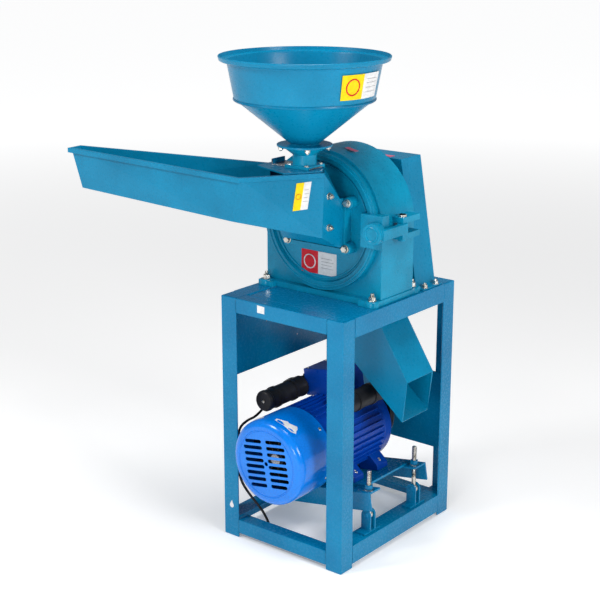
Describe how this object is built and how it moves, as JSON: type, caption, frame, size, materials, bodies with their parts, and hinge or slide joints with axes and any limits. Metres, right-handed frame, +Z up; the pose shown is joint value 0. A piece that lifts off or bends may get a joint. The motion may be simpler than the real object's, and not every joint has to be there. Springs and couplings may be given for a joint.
{
  "type": "hammer mill",
  "caption": "Small belt-driven hammer mill on an angle-iron stand, with hinged door, side feed tray, round funnel, slanted outlet chute and tilting motor.",
  "frame": {"origin": "on the floor under the middle of the stand's footprint", "axes": "+Z up; the mill's door and the fan cover face -Y; the outlet chute faces +X and the feed tray reaches towards -X"},
  "size_m": [0.719, 0.514, 1.04],
  "materials": {
    "frame_paint": "gloss enamel",
    "mill_paint": "fine hammertone enamel on cast iron",
    "sheet_paint": "fine hammertone enamel on sheet steel",
    "motor_paint": "gloss enamel",
    "bright_steel": "bare steel",
    "zinc": "zinc plated",
    "dark_iron": "machined",
    "black_plastic": "satin",
    "belt_rubber": "matt",
    "cord_rubber": "matt"
  },
  "bodies": {
    "stand": {"leg_front_left": "frame_paint", "leg_front_right": "frame_paint", "leg_rear_left": "frame_paint", "leg_rear_right": "frame_paint", "top_rail_front": "frame_paint", "top_rail_rear": "frame_paint", "top_rail_left": "frame_paint", "top_rail_right": "frame_paint", "bottom_rail_front": "frame_paint", "bottom_rail_rear": "frame_paint", "bottom_rail_left": "frame_paint", "bottom_rail_right": "frame_paint", "top_plate": "frame_paint", "side_skirt": "sheet_paint", "rear_panel": "sheet_paint", "mill_housing": "mill_paint", "bearing_front": "bright_steel", "bearing_rear": "bright_steel", "hinge_pin": "zinc", "screen_ring": "bright_steel", "belt_guard": "sheet_paint", "discharge_chute": "sheet_paint", "pivot_bracket": "frame_paint", "clevis_front": "frame_paint", "clevis_rear": "frame_paint", "v_belt": "belt_rubber", "mains_cord": "cord_rubber", "cord_hank": "cord_rubber", "mains_plug": "black_plastic"},
    "door": {"mill_door": "mill_paint", "hinge_arm": "mill_paint", "feed_tray": "sheet_paint", "box_lid": "sheet_paint", "hopper_neck": "sheet_paint", "hopper_funnel": "sheet_paint"},
    "gate": {"gate_plate": "bright_steel"},
    "clamp": {"clamp_knob": "black_plastic"},
    "rotor": {"rotor_shaft": "bright_steel", "rotor_disc": "dark_iron", "hammer_carrier": "bright_steel", "mill_pulley": "dark_iron"},
    "hammer_1": {"hammer_1": "dark_iron"},
    "hammer_2": {"hammer_2": "dark_iron"},
    "hammer_3": {"hammer_3": "dark_iron"},
    "hammer_4": {"hammer_4": "dark_iron"},
    "motor": {"motor_plate": "frame_paint", "motor_body": "motor_paint", "motor_rear_shield": "motor_paint", "fan_cover": "motor_paint", "terminal_box": "motor_paint", "capacitor_start": "black_plastic", "capacitor_run": "black_plastic", "cord_gland": "black_plastic"},
    "motor_rotor": {"motor_shaft": "bright_steel", "motor_fan": "black_plastic", "motor_pulley": "dark_iron"},
    "eyebolt_front": {"eyebolt_front": "frame_paint"},
    "nut_front": {"nut_front": "zinc"},
    "eyebolt_rear": {"eyebolt_rear": "frame_paint"},
    "nut_rear": {"nut_rear": "zinc"}
  },
  "joints": [
    {"name": "door_swing", "type": "hinge", "parent": "stand", "child": "door", "pos_m": [0.163, -0.012, 0.696], "axis": [0, 0, 1], "range_deg": [0, 110]},
    {"name": "clamp_turn", "type": "hinge", "parent": "door", "child": "clamp", "pos_m": [-0.16, -0.083, 0.696], "axis": [0, 1, 0], "range_deg": [0, 360]},
    {"name": "gate_slide", "type": "slide", "parent": "door", "child": "gate", "axis": [-1, 0, 0], "range_m": [0, 0.05]},
    {"name": "motor_tilt", "type": "hinge", "parent": "stand", "child": "motor", "pos_m": [-0.14, 0, 0.07], "axis": [0, -1, 0], "range_deg": [-2, 3], "deforming": ["v_belt", "mains_cord"]},
    {"name": "motor_spin", "type": "hinge", "parent": "motor", "child": "motor_rotor", "pos_m": [-0.00998, 0, 0.21211], "axis": [0, 1, 0], "continuous": true},
    {"name": "rotor_spin", "type": "hinge", "parent": "stand", "child": "rotor", "pos_m": [0, 0, 0.696], "axis": [0, 1, 0], "continuous": true},
    {"name": "hammer_1_swing", "type": "hinge", "parent": "rotor", "child": "hammer_1", "pos_m": [0.04243, 0, 0.73843], "axis": [0, 1, 0], "range_deg": [-60, 60]},
    {"name": "hammer_2_swing", "type": "hinge", "parent": "rotor", "child": "hammer_2", "pos_m": [-0.04243, 0, 0.73843], "axis": [0, 1, 0], "range_deg": [-60, 60]},
    {"name": "hammer_3_swing", "type": "hinge", "parent": "rotor", "child": "hammer_3", "pos_m": [-0.04243, 0, 0.65357], "axis": [0, 1, 0], "range_deg": [-60, 60]},
    {"name": "hammer_4_swing", "type": "hinge", "parent": "rotor", "child": "hammer_4", "pos_m": [0.04243, 0, 0.65357], "axis": [0, 1, 0], "range_deg": [-60, 60]},
    {"name": "eyebolt_front_swing", "type": "hinge", "parent": "stand", "child": "eyebolt_front", "pos_m": [0.14, -0.08, 0.088], "axis": [0, -1, 0], "range_deg": [-3, 4.5]},
    {"name": "nut_front_slide", "type": "slide", "parent": "eyebolt_front", "child": "nut_front", "axis": [0, 0, 1], "range_m": [-0.011, 0.016]},
    {"name": "eyebolt_rear_swing", "type": "hinge", "parent": "stand", "child": "eyebolt_rear", "pos_m": [0.14, 0.088, 0.088], "axis": [0, -1, 0], "range_deg": [-3, 4.5]},
    {"name": "nut_rear_slide", "type": "slide", "parent": "eyebolt_rear", "child": "nut_rear", "axis": [0, 0, 1], "range_m": [-0.011, 0.016]}
  ],
  "couplings": [
    {"joint": "rotor_spin", "follows": "motor_spin", "ratio": 1.375},
    {"joint": "eyebolt_front_swing", "follows": "motor_tilt", "ratio": 1.3},
    {"joint": "nut_front_slide", "follows": "motor_tilt", "m_per_rad": 0.279},
    {"joint": "eyebolt_rear_swing", "follows": "motor_tilt", "ratio": 1.3},
    {"joint": "nut_rear_slide", "follows": "motor_tilt", "m_per_rad": 0.279}
  ]
}
